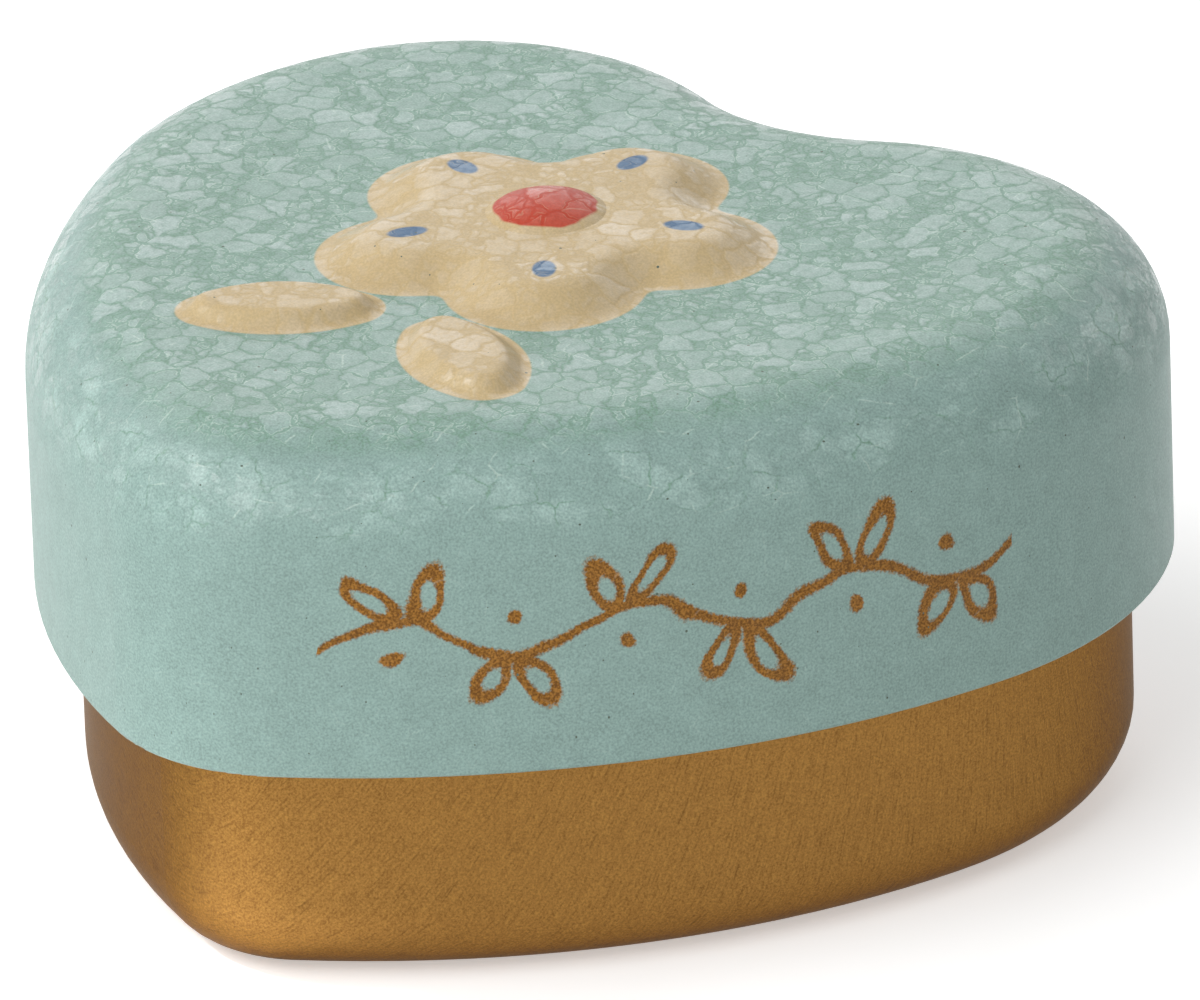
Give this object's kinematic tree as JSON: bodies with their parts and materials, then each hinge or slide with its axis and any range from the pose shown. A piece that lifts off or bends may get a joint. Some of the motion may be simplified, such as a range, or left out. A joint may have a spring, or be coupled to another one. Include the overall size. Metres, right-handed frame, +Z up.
{
  "type": "heart keepsake tin",
  "caption": "Small heart-shaped slip-lid tin for a baby's milk teeth, with a raised flower on a mint crackle lid over a gold base.",
  "frame": {"origin": "on the standing surface, under the middle of the closed tin's outline", "axes": "+Z up, the way the lid lifts off; +Y from the heart's tip to its notch; +X across the heart's width"},
  "size_m": [0.06, 0.0568, 0.0323],
  "materials": {
    "gold_lacquered_tinplate": "satin gold lacquer over tinplate",
    "mint_crackle_tinplate": "mint paint under satin crackle varnish, with a cream raised flower"
  },
  "bodies": {
    "base": {"base": "gold_lacquered_tinplate"},
    "lid": {"lid": "mint_crackle_tinplate"}
  },
  "joints": [
    {"name": "lid_lift", "type": "slide", "parent": "base", "child": "lid", "axis": [0, 0, 1], "range_m": [0, 0.03]}
  ]
}
